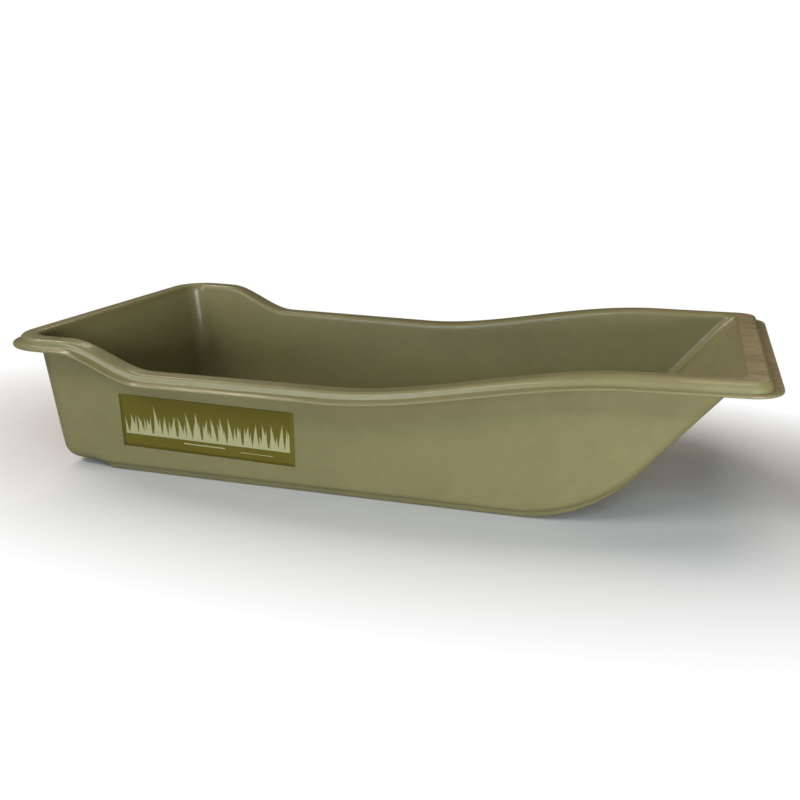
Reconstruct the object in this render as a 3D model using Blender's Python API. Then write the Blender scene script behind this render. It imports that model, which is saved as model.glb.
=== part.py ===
"""Sport sled: one thermoformed polyethylene tub with a stepped, rolled rim, two
moulded runners and a raked bow, and the adhesive label on its side.

Metres. +X points to the bow, +Z up, the label is on the -Y side. The runners
touch the ground at Z = 0 and X = 0 is half way between the two ends of the rim.
"""

from math import asin, atan, atan2, cos, degrees, hypot, pi, radians, sin, tan

import bmesh
import bpy

# Overall
LENGTH = 1.372
WALL = 0.004

# Height of the flat top of the rim, measured from the ground
STERN_HEIGHT = 0.266
WAIST_HEIGHT = 0.2145
BOW_HEIGHT = 0.2845
BOW_CREEP = 0.0115  # part of the bow's height that is gained slowly, from the middle on
DIP_START = 0.146  # from the stern end, where the rim starts down to the waist
DIP_END = 0.310
RISE_START = 0.700  # from the bow end, where the rim starts up to the bow
RISE_END = 0.210

# Side walls: half width of the inside at the floor
STERN_HALF_WIDTH = 0.2765
BOW_HALF_WIDTH = 0.2194
SIDE_CAMBER = 0.0035
SIDE_DRAFT = 0.037
TRANSOM_DRAFT = 0.102

# Corners and edges of the tub, measured on the inside
SIDE_FILLET = 0.009
BOW_FILLET = 0.0175
STERN_FILLET = 0.026  # beside the transom, aft of the runners
STERN_FILLET_START = 0.181  # from the stern end
STERN_FILLET_END = 0.150
TRANSOM_FILLET = 0.027
STERN_CORNER_RADIUS = 0.034
LEAST_FOOT_RADIUS = 0.003  # plan radius left where a fillet as large as the corner would end
BOW_CURVE_RADIUS = 0.2725
RAKE_ANGLE = radians(50.6)

# Rim section, outwards from the wall
RIM_FILLET = 0.0105
RIM_TOP_INSET = 0.0485  # from the lip's edge to where the flat top ends inside
TRANSOM_TOP_INSET = 0.0425  # the same over the transom, where the flat top is narrower
LIP_WIDTH = 0.0135
FOOT_WIDTH = 0.0026
FOOT_RISE = 0.0025
SHOULDER_WIDTH = 0.0090

# The bead under the rim's edge grows, and the side's shoulder rounds off, towards the bow
STERN_BEAD_DEPTH = 0.0120  # from the flat top down to the lip's root
BOW_BEAD_DEPTH = 0.0170
STERN_LIP_DROP = 0.0025
BOW_LIP_RISE = 0.0020
BOW_SHOULDER_WIDTH = 0.0200
BEAD_CHANGE_START = 0.476  # from the bow end
BEAD_CHANGE_END = 0.206

# Plan radii of the rim's corners: lip's edge and bead
STERN_LIP_RADIUS = 0.100
STERN_BEAD_RADIUS = 0.080
BOW_LIP_RADIUS = 0.055
BOW_BEAD_RADIUS = 0.034

# Runners, moulded into the floor
RUNNER_DEPTH = 0.012
RUNNER_WIDTH = 0.046
RUNNER_OUTER_FLANK = 0.0026
RUNNER_EDGE = 0.0016
RUNNER_EDGE_SHARE = 0.88
RUNNER_INNER_FLANK = 0.010
RUNNER_START = 0.1625  # from the stern end
RUNNER_RAMP = 0.0123
RUNNER_END = 0.151  # from the bow end
RUNNER_FADE = 0.175  # length over which the runner runs out up the bow

# Label
LABEL_LENGTH = 0.353
LABEL_HEIGHT = 0.104
LABEL_THICKNESS = 0.0005
LABEL_FROM_STERN = 0.229
LABEL_TOP = 0.163
LABEL_TILT = radians(0.9)
LABEL_GAP = 0.0003

# Mesh fineness
DIP_STEPS = 6
WAIST_STEPS = 16
CURVE_STEPS = 10
RUNNER_STEPS = 4
MIDDLE_STEPS = 3
CORNER_STEPS = 4
WALL_STEPS = 5
FILLET_ANGLES = (90.0, 66.0, 42.0, 20.0, 0.0)
RIM_FILLET_STEPS = 3
SHOULDER_STEPS = 4

STERN_END = -LENGTH / 2
BOW_END = LENGTH / 2
FLOOR_LEVEL = RUNNER_DEPTH + WALL
RIM_WIDTH = RIM_TOP_INSET + RIM_FILLET
TRANSOM_RIM_WIDTH = TRANSOM_TOP_INSET + RIM_FILLET


def lerp(a, b, t):
    return a + (b - a) * t


def clamp(t):
    return min(max(t, 0.0), 1.0)


def smooth_step(t):
    t = clamp(t)
    return t * t * (3 - 2 * t)


# Surfaces that the tub is made of

def rim_height(x):
    """Height of the rim's flat top: high stern, low waist, high bow."""
    dip = smooth_step((x - STERN_END - DIP_START) / (DIP_END - DIP_START))
    rise = smooth_step((x - BOW_END + RISE_START) / (RISE_START - RISE_END))
    creep = clamp((x - BOW_END + RISE_START) / RISE_START)
    bow_rise = BOW_HEIGHT - WAIST_HEIGHT - BOW_CREEP
    return lerp(STERN_HEIGHT, WAIST_HEIGHT, dip) + bow_rise * rise + BOW_CREEP * creep


def wall_half_width(x, z):
    """Half the inside width at x, on the drafted side wall at height z."""
    t = (x - STERN_END) / LENGTH
    at_floor = lerp(STERN_HALF_WIDTH, BOW_HALF_WIDTH, t) + 4 * SIDE_CAMBER * t * (1 - t)
    return at_floor + SIDE_DRAFT * (z - FLOOR_LEVEL)


def lip_half_width(x):
    return wall_half_width(x, rim_height(x) - RIM_FILLET) + RIM_WIDTH


def transom(z):
    """X of the inside of the transom at height z."""
    top = rim_height(STERN_END) - RIM_FILLET
    return STERN_END + TRANSOM_RIM_WIDTH + TRANSOM_DRAFT * (top - z)


RAMP_TOP_X = BOW_END - RIM_TOP_INSET - RIM_FILLET * tan(RAKE_ANGLE / 2)
RAMP_FOOT_Z = FLOOR_LEVEL + BOW_CURVE_RADIUS * (1 - cos(RAKE_ANGLE))
RAMP_FOOT_X = RAMP_TOP_X - (rim_height(RAMP_TOP_X) - RAMP_FOOT_Z) / tan(RAKE_ANGLE)
CURVE_START_X = RAMP_FOOT_X - BOW_CURVE_RADIUS * sin(RAKE_ANGLE)


def floor_slope(x):
    """Angle of the bottom at x: flat floor, bow curve, straight rake."""
    if x <= CURVE_START_X:
        return 0.0
    if x >= RAMP_FOOT_X:
        return RAKE_ANGLE
    return asin((x - CURVE_START_X) / BOW_CURVE_RADIUS)


def floor_height(x):
    slope = floor_slope(x)
    if x >= RAMP_FOOT_X:
        return RAMP_FOOT_Z + (x - RAMP_FOOT_X) * tan(RAKE_ANGLE)
    return FLOOR_LEVEL + BOW_CURVE_RADIUS * (1 - cos(slope))


def side_fillet(x):
    """Radius between side wall and bottom. It widens up the rake and beside the transom."""
    bow = smooth_step((x - CURVE_START_X) / (RAMP_TOP_X - CURVE_START_X))
    aft = (STERN_END + STERN_FILLET_START - x) / (STERN_FILLET_START - STERN_FILLET_END)
    return lerp(lerp(SIDE_FILLET, BOW_FILLET, bow), stern_fillet(0.0), smooth_step(aft))


def stern_fillet(turn):
    """Radius at the foot of the stern corner: turn 0 at the side, 1 at the transom."""
    radius = lerp(STERN_FILLET, TRANSOM_FILLET, smooth_step(turn))
    return min(radius, STERN_CORNER_RADIUS - LEAST_FOOT_RADIUS)


def fillet_rise(x):
    """Height of that fillet in an upright cut across the tub."""
    return side_fillet(x) / cos(floor_slope(x))


def fillet_point(x, angle):
    """(half width, height) on the side fillet: angle 0 meets the wall, 90 degrees the floor."""
    radius, rise = side_fillet(x), fillet_rise(x)
    top = floor_height(x) + rise
    centre = wall_half_width(x, top) - radius
    return centre + radius * cos(angle), top - rise * sin(angle)


# Runners

def runner_depth(x):
    """Depth of the runner's channel in the floor at x."""
    start = clamp((x - STERN_END - RUNNER_START) / RUNNER_RAMP)
    fade = clamp((BOW_END - RUNNER_END - x) / RUNNER_FADE)
    return RUNNER_DEPTH * start * fade


def runner_lines():
    """(inset from the wall, share of the runner's depth) of the lines along the floor."""
    line = SIDE_FILLET
    lines = [(line, 0.0)]
    line += RUNNER_OUTER_FLANK
    lines.append((line, RUNNER_EDGE_SHARE))
    line += RUNNER_EDGE
    lines.append((line, 1.0))
    for _ in range(RUNNER_STEPS):
        line += RUNNER_WIDTH / RUNNER_STEPS
        lines.append((line, 1.0))
    line += RUNNER_INNER_FLANK
    lines.append((line, 0.0))
    return lines


# Rings round the tub, from the floor's edge up the wall and out over the rim

FLOOR_END = BOW_END - RUNNER_END
RUNNER_LINES = runner_lines()
HALF_LINES = len(RUNNER_LINES) - 1 + MIDDLE_STEPS
FLOOR_STEPS = 2 + DIP_STEPS + WAIST_STEPS + CURVE_STEPS
SIDE_EDGES = FLOOR_STEPS + 2 * CORNER_STEPS
END_EDGES = 2 * HALF_LINES


def stations():
    """X of the lines across the floor, closer together where the rim dips and the bow curves."""
    ramp = STERN_END + RUNNER_START
    lines = [transom(FLOOR_LEVEL) + STERN_CORNER_RADIUS, ramp, ramp + RUNNER_RAMP]
    dip_end = STERN_END + DIP_END
    for end, steps in (dip_end, DIP_STEPS), (CURVE_START_X, WAIST_STEPS), (bow_corner(0)[0], CURVE_STEPS):
        start = lines[-1]
        lines += [lerp(start, end, k / steps) for k in range(1, steps + 1)]
    return lines


def level_share(level):
    """Height share of a ring on the wall: 0 at the fillet's top, 1 at the rim's fillet."""
    return max(level - len(FILLET_ANGLES) + 1, 0) / WALL_STEPS


def level_angle(level):
    return radians(FILLET_ANGLES[min(level, len(FILLET_ANGLES) - 1)])


TOP_LEVEL = len(FILLET_ANGLES) - 1 + WALL_STEPS


def wall_top(x):
    """Height where the side wall meets the fillet under the rim."""
    return rim_height(x) - RIM_FILLET


def ramp_meeting_x():
    """X where the top of the side wall meets the fillet of the rake."""
    rise = BOW_FILLET / cos(RAKE_ANGLE)
    return RAMP_FOOT_X + (wall_top(RAMP_TOP_X) - rise - RAMP_FOOT_Z) / tan(RAKE_ANGLE)


def bow_corner(level):
    """(x where a ring leaves the side wall, x where it crosses the bow, extra inset there)."""
    angle, share = level_angle(level), level_share(level)
    flat = angle / (pi / 2)
    leave = lerp(FLOOR_END, ramp_meeting_x(), share)
    reach = side_fillet(leave) / sin(RAKE_ANGLE)
    cross = lerp(leave + reach, FLOOR_END, flat * flat)
    return leave - flat * RUNNER_WIDTH / 2, cross, flat * RUNNER_WIDTH / 2


def side_point(x, level):
    """(half width, height) of a ring at x on the side."""
    if level < len(FILLET_ANGLES):
        return fillet_point(x, level_angle(level))
    share = level_share(level)
    foot = floor_height(x) + fillet_rise(x)
    if x <= FLOOR_END:
        height = lerp(foot, wall_top(x), share)
    else:
        rise = wall_top(FLOOR_END) - floor_height(FLOOR_END) - fillet_rise(FLOOR_END)
        leave = bow_corner(level)[0]
        height = foot + share * rise * clamp((leave - x) / (leave - FLOOR_END))
    return wall_half_width(x, height), height


def stern_point(turn, level):
    """Point of a ring round the stern corner: turn 0 at the side, 1 at the transom."""
    psi = turn * pi / 2
    angle, share = level_angle(level), level_share(level)
    fillet = stern_fillet(turn)
    height = lerp(FLOOR_LEVEL + fillet * (1 - sin(angle)), wall_top(STERN_END), share)
    centre_x = transom(height) + STERN_CORNER_RADIUS
    centre_y = wall_half_width(centre_x, height) - STERN_CORNER_RADIUS
    reach = STERN_CORNER_RADIUS - fillet * (1 - cos(angle))
    return centre_x - reach * sin(psi), centre_y + reach * cos(psi), height


def bow_point(turn, level):
    """Point of a ring round the bow corner: turn 0 at the side, 1 on the rake.

    A low ring first climbs down the fillet to the rake, then runs in along it."""
    leave, cross, extra = bow_corner(level)
    flat = level_angle(level) / (pi / 2)
    down = clamp(turn / (1 - flat / 2))
    inwards = clamp((turn - 1 + flat / 2) / (flat / 2)) if flat > 0 else 0.0
    along = lerp(sin(turn * pi / 2), clamp(2 * turn), flat)
    x = lerp(leave, cross, along)
    half, height = fillet_point(x, lerp(level_angle(level), pi / 2, down))
    return x, half - extra * inwards, height


def tub_ring(level, place):
    """Point of a ring inside the tub at a place of the perimeter, on the +Y half."""
    kind, share = place
    if level == TOP_LEVEL:
        return rim_ring(-1, place)
    if kind == "side":
        first = stern_point(0, level)[0]
        last = bow_corner(level)[0]
        marks = STATIONS
        span = (share - marks[0]) / (marks[-1] - marks[0])
        x = share if level == 0 else lerp(first, last, span)
        half, height = side_point(x, level)
        return x, half, height
    if kind == "stern corner":
        return stern_point(share, level)
    if kind == "bow corner":
        return bow_point(share, level)
    corner = stern_point(1, level) if kind == "stern" else bow_point(1, level)
    return corner[0], corner[1] * share, corner[2]


def rim_section(x, side):
    """(inset from the lip's edge, drop below the flat top) from the shoulder outwards.

    side is 1 on the sled's sides and 0 across its ends."""
    bow = smooth_step((x - BOW_END + BEAD_CHANGE_START) / (BEAD_CHANGE_START - BEAD_CHANGE_END))
    depth = lerp(STERN_BEAD_DEPTH, BOW_BEAD_DEPTH, bow)
    width = lerp(SHOULDER_WIDTH, BOW_SHOULDER_WIDTH, bow * side)
    skirt = LIP_WIDTH + FOOT_WIDTH
    section = []
    for step in range(SHOULDER_STEPS + 1):
        angle = pi / 2 * step / SHOULDER_STEPS
        drop = (depth - FOOT_RISE) * (1 - cos(angle))
        section.append((skirt + width * (1 - sin(angle)), drop))
    section.append((LIP_WIDTH, depth))
    section.append((0.0, depth + lerp(STERN_LIP_DROP, -BOW_LIP_RISE, bow)))
    return section


def rim_level_count():
    return RIM_FILLET_STEPS + len(rim_section(0.0, 1.0))


def rim_offset(x, side, level, turned):
    """(inset, drop) of a rim ring. turned is the angle that the fillet turns through there.

    Level -1 is where the fillet leaves the wall."""
    if level < RIM_FILLET_STEPS:
        angle = turned * (1 - (level + 1) / RIM_FILLET_STEPS)
        return RIM_TOP_INSET + RIM_FILLET * sin(angle), RIM_FILLET * (1 - cos(angle))
    return rim_section(x, side)[level - RIM_FILLET_STEPS]


def end_inset(inset):
    """Inset over the transom of what lies at a given inset on the side."""
    land = RIM_TOP_INSET - LIP_WIDTH - FOOT_WIDTH - SHOULDER_WIDTH
    beyond = clamp((inset - RIM_TOP_INSET + land) / land)
    return inset - (RIM_TOP_INSET - TRANSOM_TOP_INSET) * beyond


def corner_radius(inset, lip, bead, wall):
    """Plan radius of a corner of the rim, between those of lip, bead and wall."""
    if inset < LIP_WIDTH:
        return lerp(lip, bead, inset / LIP_WIDTH)
    return lerp(bead, wall, inwards(inset))


def inwards(inset):
    """0 at the lip's root, 1 where the rim meets the wall."""
    return clamp((inset - LIP_WIDTH) / (RIM_WIDTH - LIP_WIDTH))


def side_direction(x):
    """Angle that the lip's side edge makes with the sled's axis."""
    step = 0.01
    return atan((lip_half_width(x - step) - lip_half_width(x + step)) / (2 * step))


def rim_corner(inset, bow):
    """(centre x, centre half width, reach, radius, first angle) of a corner's arc at an inset.

    The reach along the sled grows inwards at the bow, where the rake cuts the fillet."""
    stretch = 1.0
    if bow:
        radius = corner_radius(inset, BOW_LIP_RADIUS, BOW_BEAD_RADIUS, BOW_FILLET)
        stretch = lerp(1.0, 1 / sin(RAKE_ANGLE), inwards(inset))
        centre_x = BOW_END - inset - radius * stretch
    else:
        radius = corner_radius(inset, STERN_LIP_RADIUS, STERN_BEAD_RADIUS, STERN_CORNER_RADIUS)
        centre_x = STERN_END + end_inset(inset) + radius
    reach = radius * stretch
    forward = 1 if bow else -1
    skew = forward * atan(stretch * tan(side_direction(centre_x)))
    edge = lip_half_width(centre_x + forward * reach * sin(skew)) - inset
    return centre_x, edge - radius * cos(skew), reach, radius, skew


def rim_ring(level, place):
    """Point of a ring on the rim at a place of the perimeter, on the +Y half."""
    kind, share = place
    side_turn = pi / 2 - atan(SIDE_DRAFT)
    if kind == "side":
        at_stern = rim_offset(STERN_END, 1.0, level, side_turn)[0]
        at_bow = rim_offset(BOW_END, 1.0, level, side_turn)[0]
        stern_x, bow_x = rim_corner(at_stern, False)[0], rim_corner(at_bow, True)[0]
        span = (share - STATIONS[0]) / (STATIONS[-1] - STATIONS[0])
        x = lerp(stern_x, bow_x, span)
        inset, drop = rim_offset(x, 1.0, level, side_turn)
        return x, lip_half_width(x) - inset, rim_height(x) - drop
    bow = kind in ("bow corner", "bow")
    turn = share if kind.endswith("corner") else 1.0
    end_turn = RAKE_ANGLE if bow else pi / 2 - atan(TRANSOM_DRAFT)
    end = BOW_END if bow else STERN_END
    inset, drop = rim_offset(end, 1 - turn, level, lerp(side_turn, end_turn, turn))
    centre_x, centre_y, reach, radius, skew = rim_corner(inset, bow)
    psi = lerp(skew, pi / 2, turn)
    x = centre_x + (1 if bow else -1) * reach * sin(psi)
    half = centre_y + radius * cos(psi)
    if not kind.endswith("corner"):
        half *= share
    return x, half, rim_height(x) - drop


def places():
    """Perimeter place of each grid edge vertex on the +Y half, by its (column, row)."""
    found = {}
    last_column, middle = SIDE_EDGES, HALF_LINES
    for column in range(CORNER_STEPS, last_column - CORNER_STEPS + 1):
        found[column, 0] = ("side", STATIONS[column - CORNER_STEPS])
    for step in range(1, 2 * CORNER_STEPS + 1):
        turn = step / (2 * CORNER_STEPS)
        inwards = max(CORNER_STEPS - step, 0)
        along = max(step - CORNER_STEPS, 0)
        found[inwards, along] = ("stern corner", turn)
        found[last_column - inwards, along] = ("bow corner", turn)
    for row in range(CORNER_STEPS + 1, middle + 1):
        share = LINE_SHARES[row] / LINE_SHARES[CORNER_STEPS]
        found[0, row] = ("stern", share)
        found[last_column, row] = ("bow", share)
    return found


def line_shares():
    """Half width share of each line along the floor, from the side to the middle."""
    half = fillet_point(0.0, pi / 2)[0] + SIDE_FILLET
    shares = [(half - inset) / half for inset, _ in RUNNER_LINES]
    last = shares[-1]
    return shares + [last * (1 - k / MIDDLE_STEPS) for k in range(1, MIDDLE_STEPS + 1)]


STATIONS = stations()
LINE_SHARES = line_shares()
PLACES = places()


def floor_line(column, row):
    """(x, half width) where a line along the floor crosses a line across it."""
    if (column, row) in PLACES:
        return tub_ring(0, PLACES[column, row])[:2]
    x, half, _ = tub_ring(0, PLACES[column, 0])
    last_line = len(RUNNER_LINES) - 1
    inset = RUNNER_LINES[min(row, last_line)][0]
    share = 1 - max(row - last_line, 0) / MIDDLE_STEPS
    return x, (half - (inset - SIDE_FILLET)) * share


def floor_point(column, row):
    """Inner grid vertex of the floor on the +Y half."""
    near = min(column, SIDE_EDGES - column)
    if near < CORNER_STEPS:
        end = 0 if column < CORNER_STEPS else SIDE_EDGES
        along = CORNER_STEPS if column < CORNER_STEPS else SIDE_EDGES - CORNER_STEPS
        t = near / CORNER_STEPS
        outer, inner = floor_line(end, row), floor_line(along, row)
        x, lateral = lerp(outer[0], inner[0], t), lerp(outer[1], inner[1], t)
    else:
        x, lateral = floor_line(column, row)
    depth_share = RUNNER_LINES[row][1] if row < len(RUNNER_LINES) else 0.0
    slope = floor_slope(x)
    depth = runner_depth(x) * depth_share
    return x + depth * sin(slope), lateral, floor_height(x) - depth * cos(slope)


def mirrored(point, sign):
    return point[0], sign * point[1], point[2]


def build_hull():
    """The tub and rim as one sheet: a floor grid whose edge is extruded ring by ring."""
    bm = bmesh.new()
    bmesh.ops.create_grid(bm, x_segments=SIDE_EDGES, y_segments=END_EDGES, size=0.5)
    column_tag = bm.verts.layers.int.new("column")
    row_tag = bm.verts.layers.int.new("row")
    for vert in bm.verts:
        vert[column_tag] = round((vert.co.x + 0.5) * SIDE_EDGES)
        vert[row_tag] = round((vert.co.y + 0.5) * END_EDGES)

    def place_of(vert):
        column, row = vert[column_tag], vert[row_tag]
        sign = 1 if row > HALF_LINES else -1
        return column, min(row, END_EDGES - row), sign

    for vert in bm.verts:
        column, row, sign = place_of(vert)
        if (column, row) in PLACES:
            point = tub_ring(0, PLACES[column, row])
        else:
            point = floor_point(column, row)
        vert.co = mirrored(point, sign)

    edges = [edge for edge in bm.edges if edge.is_boundary]
    rings = [(tub_ring, level) for level in range(1, TOP_LEVEL + 1)]
    rings += [(rim_ring, level) for level in range(rim_level_count())]
    for ring, level in rings:
        grown = bmesh.ops.extrude_edge_only(bm, edges=edges)["geom"]
        for vert in grown:
            if isinstance(vert, bmesh.types.BMVert):
                column, row, sign = place_of(vert)
                vert.co = mirrored(ring(level, PLACES[column, row]), sign)
        edges = [edge for edge in grown if isinstance(edge, bmesh.types.BMEdge)]
    bmesh.ops.recalc_face_normals(bm, faces=bm.faces)
    if max(bm.faces, key=lambda face: face.calc_area()).normal.z < 0:
        bmesh.ops.reverse_faces(bm, faces=bm.faces)

    hull = new_object("hull", bm, moulded_plastic())
    skin = hull.modifiers.new("Sheet thickness", "SOLIDIFY")
    skin.thickness = WALL
    skin.offset = -1.0
    skin.use_even_offset = True
    return hull


def build_label():
    """The adhesive label: a thin sheet that follows the outside of the -Y wall."""
    bm = bmesh.new()
    columns, rows = 12, 3
    bmesh.ops.create_grid(bm, x_segments=columns, y_segments=rows, size=0.5)
    outside = WALL / cos(atan(SIDE_DRAFT)) + LABEL_GAP
    for vert in bm.verts:
        along = (vert.co.x + 0.5) * LABEL_LENGTH
        down = (0.5 - vert.co.y) * LABEL_HEIGHT
        x = STERN_END + LABEL_FROM_STERN + along * cos(LABEL_TILT) - down * sin(LABEL_TILT)
        z = LABEL_TOP - along * sin(LABEL_TILT) - down * cos(LABEL_TILT)
        vert.co = (x, -(wall_half_width(x, z) + outside), z)
    label = new_object("side_label", bm, label_film())
    film = label.modifiers.new("Film thickness", "SOLIDIFY")
    film.thickness = LABEL_THICKNESS
    film.offset = 1.0
    film.use_even_offset = True
    return label


def new_object(name, bm, material):
    mesh = bpy.data.meshes.new(name)
    bm.to_mesh(mesh)
    bm.free()
    mesh.shade_smooth()
    mesh.materials.append(material)
    thing = bpy.data.objects.new(name, mesh)
    bpy.context.collection.objects.link(thing)
    return thing


def plain_material(name, colour, roughness):
    material = bpy.data.materials.new(name)
    material.use_nodes = True
    shader = material.node_tree.nodes["Principled BSDF"]
    shader.inputs["Base Color"].default_value = (*colour, 1.0)
    shader.inputs["Roughness"].default_value = roughness
    return material


def moulded_plastic():
    return plain_material("Marsh brown polyethylene", (0.245, 0.225, 0.118), 0.42)


def label_film():
    return plain_material("Dark olive label film", (0.112, 0.093, 0.018), 0.5)


def clear_scene():
    for thing in list(bpy.data.objects):
        bpy.data.objects.remove(thing)


def main():
    clear_scene()
    build_hull()
    build_label()


main()
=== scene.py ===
"""Sport sled: the looks of a one-piece thermoformed tub and its side label, set around the
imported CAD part. Metres; +X to the bow, +Z up, the label on the -Y side."""

from math import asin, atan, cos, pi, radians, sin, tan

import bmesh
import bpy
from bpy.props import FloatProperty, FloatVectorProperty, IntProperty, PointerProperty
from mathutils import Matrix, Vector


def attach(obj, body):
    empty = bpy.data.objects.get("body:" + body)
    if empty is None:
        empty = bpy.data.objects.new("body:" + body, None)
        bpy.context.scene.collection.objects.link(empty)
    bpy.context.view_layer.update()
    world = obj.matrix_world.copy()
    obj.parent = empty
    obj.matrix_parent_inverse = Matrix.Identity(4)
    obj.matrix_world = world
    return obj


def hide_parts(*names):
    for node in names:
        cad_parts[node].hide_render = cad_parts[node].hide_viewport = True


bl_info = {
    "name": "Thermoformed sport sled",
    "version": (1, 0, 0),
    "blender": (4, 5, 0),
    "location": "3D View > Sidebar > Sled",
    "description": "Makes a moulded tub sled, its side label and a plain studio round them",
    "category": "Add Mesh",
}

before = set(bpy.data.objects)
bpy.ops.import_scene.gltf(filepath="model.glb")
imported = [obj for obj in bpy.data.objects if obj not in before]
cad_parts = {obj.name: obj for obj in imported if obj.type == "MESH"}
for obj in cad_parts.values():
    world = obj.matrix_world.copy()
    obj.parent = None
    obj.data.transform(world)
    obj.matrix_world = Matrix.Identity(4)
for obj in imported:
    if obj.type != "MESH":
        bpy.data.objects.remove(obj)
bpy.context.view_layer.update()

# Fineness of the tub's cage, which one subdivision then halves
DIP_STEPS = 12
WAIST_STEPS = 36
CURVE_STEPS = 20
RUNNER_STEPS = 5
MIDDLE_STEPS = 7
CORNER_STEPS = 8
WALL_STEPS = 8
FILLET_STEPS = 7
RIM_FILLET_STEPS = 5
LAND_STEPS = 3
SHOULDER_STEPS = 8
LIP_STEPS = 3

# Rows that keep the bead's foot and the lip's trimmed edge crisp, in metres
TOE_WIDTH, TOE_RISE, LIP_EDGE = 0.0009, 0.0007, 0.0007

# Marks on the sheet: stretch, range of noise in which they fade in, share in colour and relief
RUB_STRETCH, RUB_TURN = (0.12, 1.0, 1.0), (0.2, 0.5, 0.35)
RUB_FINENESS, PATCH_SPREAD = 0.12, 3.0
RUB_RANGE, PATCH_RANGE = (0.62, 0.78), (0.45, 0.7)
RUB_PALENESS, RUB_DULLING = 0.25, 0.2
STREAK_STRETCH, STREAK_RANGE = (0.13, 1.0, 1.0), (0.42, 0.60)
STREAK_ONSET = 150.0
# The rim land's pink: how upward a face must be for it, and its shares on the streaks and over the
# whole land. This pink is painted sheen, and the streaks it tints are real marks.
LEVEL_RANGE = (0.90, 0.985)
STREAK_PINK_SHARE, LAND_SHEEN_SHARE = 0.55, 0.35
STREAK_DEPTH, GRAIN_SIZE = 0.0008, 0.0011
DRIFT_SIZE, MOTTLE_SIZE = 0.16, 0.022
GLOSS_SIZE, GLOSS_SWING = 0.05, 0.9

# The print, in metres from the label's lower corner at the stern
PRINT_MARGIN = 0.009
PRINT_SOFT, MARGIN_SOFT = 0.0004, 0.0005
GROUND_FOOT, GROUND_TOP = 0.026, 0.0305
BLADE_FOOT = 0.030
BLADE_ROWS = ((1.0, 0.064, 0.42, 0.9, 3.0), (0.61, 0.046, 0.40, 0.7, 7.5))
BARS = ((0.13, 0.215, 0.0175, 0.0200), (0.245, 0.310, 0.0140, 0.0155))
INK_COVER, INK_SMOOTHING = 0.95, -0.08
FILM_ROUGHNESS, FILM_PEEL = 0.62, 0.6
SEED_STEP, BLADE_CRISPNESS = 17.3, 12.0

# The floor: sizes in metres, greys for the lamps and for the camera, colours of the world
FLOOR_GAP, FADE_START, FADE_END = 0.0002, 0.36, 0.66
FADE_OVAL = (0.48, 1.0, 1.0)
FLOOR_LIT, FLOOR_SEEN = (0.34, 0.34, 0.34, 1.0), (0.85, 0.85, 0.85, 1.0)
SKY_TINT, WHITE = (1.0, 0.85, 0.62, 1.0), (1.0, 1.0, 1.0, 1.0)

# Lamps: name, setting of its level, size, place, aim, tint, whether the plastic mirrors it
MIDDLE = (0.0, 0.0, 0.1)
PLAIN, WARM = (1.0, 1.0, 1.0), (1.0, 0.87, 0.72)
COOL, BLUE = (0.79, 0.91, 1.0), (0.42, 0.74, 1.0)
LAMPS = (
    ("Key softbox", "key_level", (2.2, 1.0), (-1.5, -2.7, 2.9), MIDDLE, PLAIN, True),
    ("Low front card", "card_level", (1.5, 0.5), (1.9, -2.0, 0.34), (0.3, 0.0, 0.1), PLAIN, True),
    ("Overhead strip", "strip_level", (2.8, 0.08), (-1.9, 0.65, 2.0), MIDDLE, WARM, True),
    ("Bow top", "top_level", (0.4, 0.4), (0.75, -0.1, 1.1), (1.0, -0.1, 0.28), WARM, True),
    ("Back card", "back_level", (2.4, 0.6), (-0.4, 3.2, 0.4), MIDDLE, PLAIN, False),
    ("Bow softbox", "bow_level", (0.25, 0.25), (1.3, -0.6, 1.05), (0.0, 0.0, 0.2), PLAIN, True),
    ("Cool spot", "spot_level", (0.14, 0.14), (0.86, -1.0, 0.95), (0.6, -0.28, 0.27), BLUE, True),
    ("Sheen card", "sheen_level", (1.3, 0.5), (-1.0, -2.6, 0.75), (-0.1, 0.24, 0.15), COOL, True),
)


def metres(name, default, description):
    return FloatProperty(
        name=name, description=description, default=default, min=0.0, precision=4, unit="LENGTH"
    )


def angle(name, degrees, description):
    return FloatProperty(
        name=name, description=description, default=radians(degrees), unit="ROTATION"
    )


def colour(name, default, description):
    return FloatVectorProperty(
        name=name, description=description, default=default, size=3, min=0.0, max=1.0,
        subtype="COLOR",
    )


def share(name, default, description):
    return FloatProperty(
        name=name, description=description, default=default, min=0.0, max=1.0, subtype="FACTOR"
    )


def watts(name, default):
    return FloatProperty(
        name=name, description="Power of this lamp", default=default, min=0.0, unit="POWER"
    )


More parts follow.
